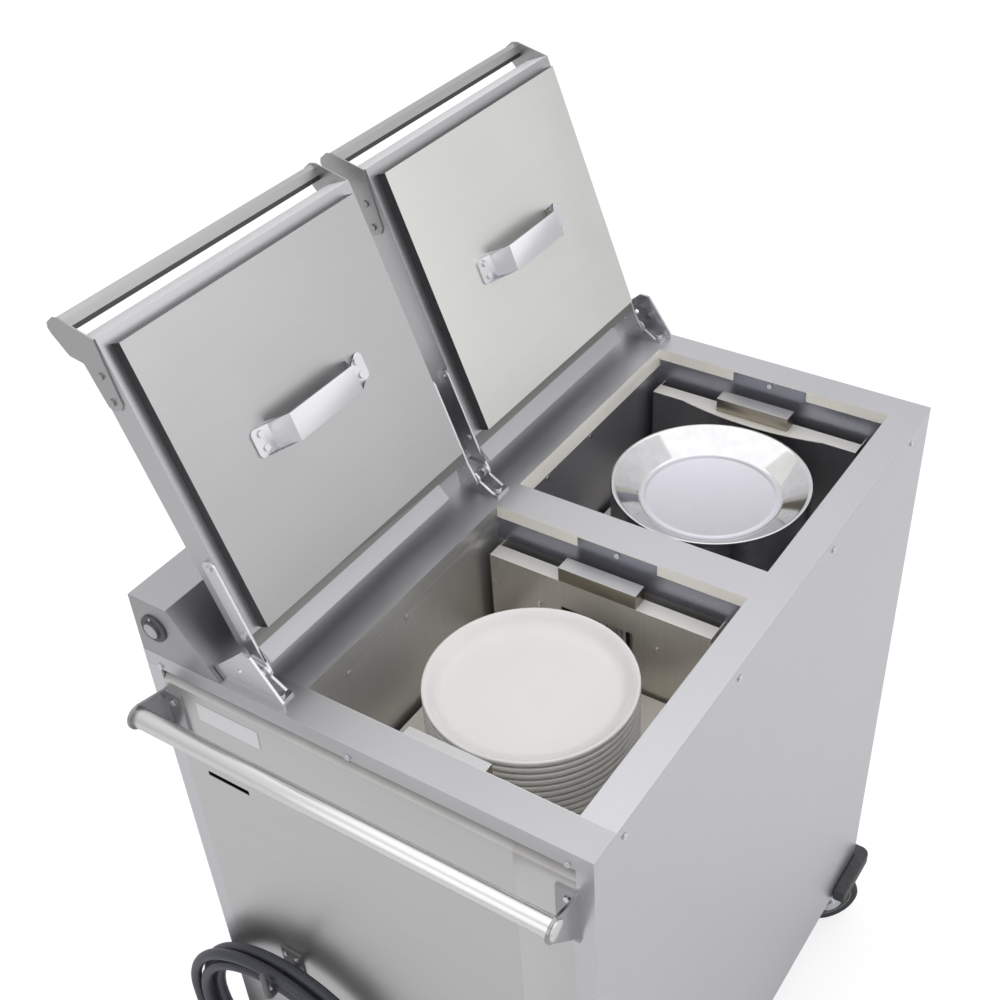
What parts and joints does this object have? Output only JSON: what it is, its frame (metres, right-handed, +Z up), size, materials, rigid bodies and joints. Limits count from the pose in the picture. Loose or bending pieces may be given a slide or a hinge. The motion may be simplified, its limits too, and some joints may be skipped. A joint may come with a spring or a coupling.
{
  "type": "plate dispenser cart",
  "caption": "Heated stainless plate dispenser cart with sprung plate wells, hinged lids, a push handle, a coiled mains cord and swivel casters.",
  "frame": {"origin": "on the floor, under the middle of the cart's bounding box without its cord", "axes": "+X along the cart's length away from the push handle, +Y towards the control housing and the lid hinges, +Z up"},
  "size_m": [0.875, 0.6422, 1.3425],
  "materials": {
    "brake_pedal": "satin",
    "carriage": "brushed",
    "caster_fork": "brushed",
    "caster_plates": "brushed",
    "chassis_base": "brushed",
    "china_plates": "gloss",
    "control_housing": "brushed",
    "cord_coil": "matte",
    "cord_gland": "matte",
    "cord_hook": "brushed",
    "cord_lead": "matte",
    "corner_bumpers": "matte",
    "end_access_panel": "brushed",
    "end_corner_strip": "brushed",
    "far_end_panel": "brushed",
    "fasteners": "brushed",
    "front_panel": "brushed",
    "grip_bar": "brushed",
    "guide_panels": "brushed",
    "guide_rods": "polished",
    "heater_elements": "brushed",
    "hinge_brackets": "brushed",
    "hinge_pins": "polished",
    "hub": "matte",
    "label_plate": "satin",
    "lid_arms": "brushed",
    "lid_pan": "brushed",
    "lid_shell": "brushed",
    "lift_springs": "brushed",
    "plug": "matte",
    "push_handle_brackets": "brushed",
    "push_handle_tube": "polished",
    "rear_panel": "brushed",
    "rod_brackets": "brushed",
    "steel_plates": "polished",
    "strap_handle": "brushed",
    "thermostat_body": "matte",
    "thermostat_knob": "matte",
    "top_deck": "brushed",
    "tyre": "matte",
    "well_liner": "brushed"
  },
  "bodies": {
    "cart": {"chassis_base": "chassis_base", "front_panel": "front_panel", "rear_panel": "rear_panel", "end_corner_strip": "end_corner_strip", "end_access_panel": "end_access_panel", "far_end_panel": "far_end_panel", "top_deck": "top_deck", "well_liner_1": "well_liner", "well_liner_2": "well_liner", "guide_panels_1": "guide_panels", "guide_panels_2": "guide_panels", "guide_rods": "guide_rods", "rod_brackets": "rod_brackets", "heater_elements": "heater_elements", "control_housing": "control_housing", "thermostat_body": "thermostat_body", "label_plate": "label_plate", "hinge_brackets": "hinge_brackets", "hinge_pins": "hinge_pins", "fasteners": "fasteners", "push_handle_tube": "push_handle_tube", "push_handle_brackets": "push_handle_brackets", "corner_bumpers": "corner_bumpers", "caster_plates": "caster_plates", "cord_gland": "cord_gland", "cord_hook": "cord_hook", "cord_lead": "cord_lead", "cord_coil": "cord_coil", "plug": "plug", "lift_springs_1": "lift_springs", "lift_springs_2": "lift_springs"},
    "lid_1": {"lid_shell_1": "lid_shell", "lid_pan_1": "lid_pan", "lid_arms_1": "lid_arms", "grip_bar_1": "grip_bar", "strap_handle_1": "strap_handle"},
    "carriage_body_1": {"carriage_1": "carriage"},
    "lid_2": {"lid_shell_2": "lid_shell", "lid_pan_2": "lid_pan", "lid_arms_2": "lid_arms", "grip_bar_2": "grip_bar", "strap_handle_2": "strap_handle"},
    "carriage_body_2": {"carriage_2": "carriage"},
    "china_stack": {"china_plates": "china_plates"},
    "steel_stack": {"steel_plates": "steel_plates"},
    "caster_1": {"caster_fork_1": "caster_fork"},
    "wheel_1": {"tyre_1": "tyre", "hub_1": "hub"},
    "caster_2": {"caster_fork_2": "caster_fork"},
    "wheel_2": {"tyre_2": "tyre", "hub_2": "hub"},
    "caster_3": {"caster_fork_3": "caster_fork"},
    "wheel_3": {"tyre_3": "tyre", "hub_3": "hub"},
    "caster_4": {"caster_fork_4": "caster_fork"},
    "wheel_4": {"tyre_4": "tyre", "hub_4": "hub"},
    "pedal_1": {"brake_pedal_1": "brake_pedal"},
    "pedal_2": {"brake_pedal_2": "brake_pedal"},
    "knob": {"thermostat_knob": "thermostat_knob"}
  },
  "joints": [
    {"name": "lid_hinge_1", "type": "hinge", "parent": "cart", "child": "lid_1", "pos_m": [-0.1745, 0.12355, 0.9936], "axis": [1, 0, 0], "range_deg": [0, 111.07]},
    {"name": "lid_hinge_2", "type": "hinge", "parent": "cart", "child": "lid_2", "pos_m": [0.2095, 0.12355, 0.9936], "axis": [1, 0, 0], "range_deg": [0, 111.07]},
    {"name": "carriage_slide_1", "type": "slide", "parent": "cart", "child": "carriage_body_1", "axis": [0, 0, -1], "range_m": [-0.075, 0.42], "stiffness_N_per_m": 492, "springref_m": -0.1415, "deforming": ["lift_springs_1"]},
    {"name": "carriage_slide_2", "type": "slide", "parent": "cart", "child": "carriage_body_2", "axis": [0, 0, -1], "range_m": [-0.075, 0.42], "stiffness_N_per_m": 743, "springref_m": -0.1272, "deforming": ["lift_springs_2"]},
    {"name": "china_plates_lift", "type": "slide", "parent": "carriage_body_1", "child": "china_stack", "axis": [0, 0, -1], "range_m": [-0.25, 0]},
    {"name": "steel_plates_lift", "type": "slide", "parent": "carriage_body_2", "child": "steel_stack", "axis": [0, 0, -1], "range_m": [-0.25, 0]},
    {"name": "caster_swivel_1", "type": "hinge", "parent": "cart", "child": "caster_1", "pos_m": [-0.3175, -0.22045, 0.113], "axis": [0, 0, 1], "continuous": true},
    {"name": "wheel_spin_1", "type": "hinge", "parent": "caster_1", "child": "wheel_1", "pos_m": [-0.29275, -0.2452, 0.05], "axis": [0.7071, 0.7071, 0], "continuous": true},
    {"name": "caster_swivel_2", "type": "hinge", "parent": "cart", "child": "caster_2", "pos_m": [-0.3175, 0.21955, 0.113], "axis": [0, 0, 1], "continuous": true},
    {"name": "wheel_spin_2", "type": "hinge", "parent": "caster_2", "child": "wheel_2", "pos_m": [-0.29275, 0.1948, 0.05], "axis": [0.7071, 0.7071, 0], "continuous": true},
    {"name": "caster_swivel_3", "type": "hinge", "parent": "cart", "child": "caster_3", "pos_m": [0.3525, -0.22045, 0.113], "axis": [0, 0, 1], "continuous": true},
    {"name": "wheel_spin_3", "type": "hinge", "parent": "caster_3", "child": "wheel_3", "pos_m": [0.37725, -0.2452, 0.05], "axis": [0.7071, 0.7071, 0], "continuous": true},
    {"name": "caster_swivel_4", "type": "hinge", "parent": "cart", "child": "caster_4", "pos_m": [0.3525, 0.21955, 0.113], "axis": [0, 0, 1], "continuous": true},
    {"name": "wheel_spin_4", "type": "hinge", "parent": "caster_4", "child": "wheel_4", "pos_m": [0.37725, 0.1948, 0.05], "axis": [0.7071, 0.7071, 0], "continuous": true},
    {"name": "brake_pedal_tilt_1", "type": "hinge", "parent": "caster_1", "child": "pedal_1", "pos_m": [-0.2878, -0.25015, 0.088], "axis": [0.7071, 0.7071, 0], "range_deg": [0, 14]},
    {"name": "brake_pedal_tilt_2", "type": "hinge", "parent": "caster_2", "child": "pedal_2", "pos_m": [-0.2878, 0.18985, 0.088], "axis": [0.7071, 0.7071, 0], "range_deg": [0, 14]},
    {"name": "thermostat_turn", "type": "hinge", "parent": "cart", "child": "knob", "pos_m": [-0.3825, 0.24015, 1.0195], "axis": [-1, 0, 0], "range_deg": [0, 270]}
  ]
}
